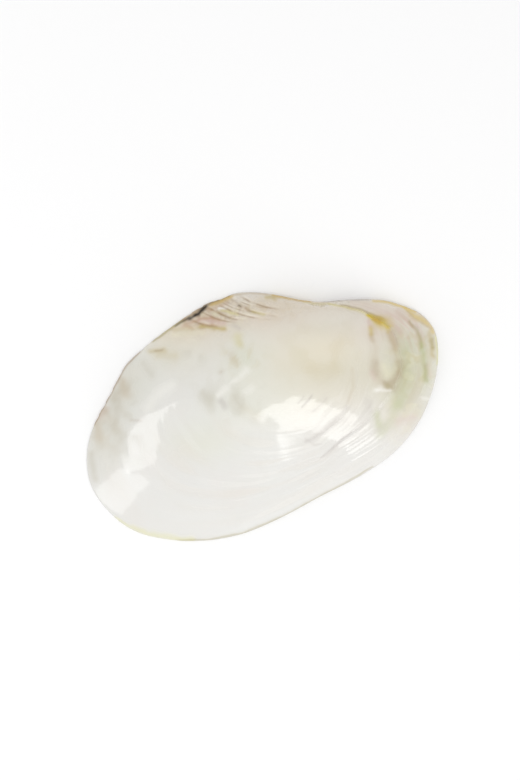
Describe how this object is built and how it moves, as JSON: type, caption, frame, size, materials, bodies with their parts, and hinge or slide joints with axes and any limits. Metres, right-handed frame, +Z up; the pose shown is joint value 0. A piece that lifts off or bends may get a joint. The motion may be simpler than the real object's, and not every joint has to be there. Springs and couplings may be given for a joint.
{
  "type": "clam shell",
  "caption": "Polished valve of a large freshwater pearl clam: a thin oval mother-of-pearl dome with a folded wing and growth ridges, hollow below.",
  "frame": {"origin": "centre of the footprint, on the surface that the margin rests on", "axes": "+X along the shell's length towards its front end, +Y towards its hinge side, +Z up through the dome"},
  "size_m": [0.1504, 0.0896, 0.0261],
  "materials": {
    "nacre": "polished mother-of-pearl, glossy"
  },
  "bodies": {
    "root": {"valve": "nacre"}
  },
  "joints": []
}
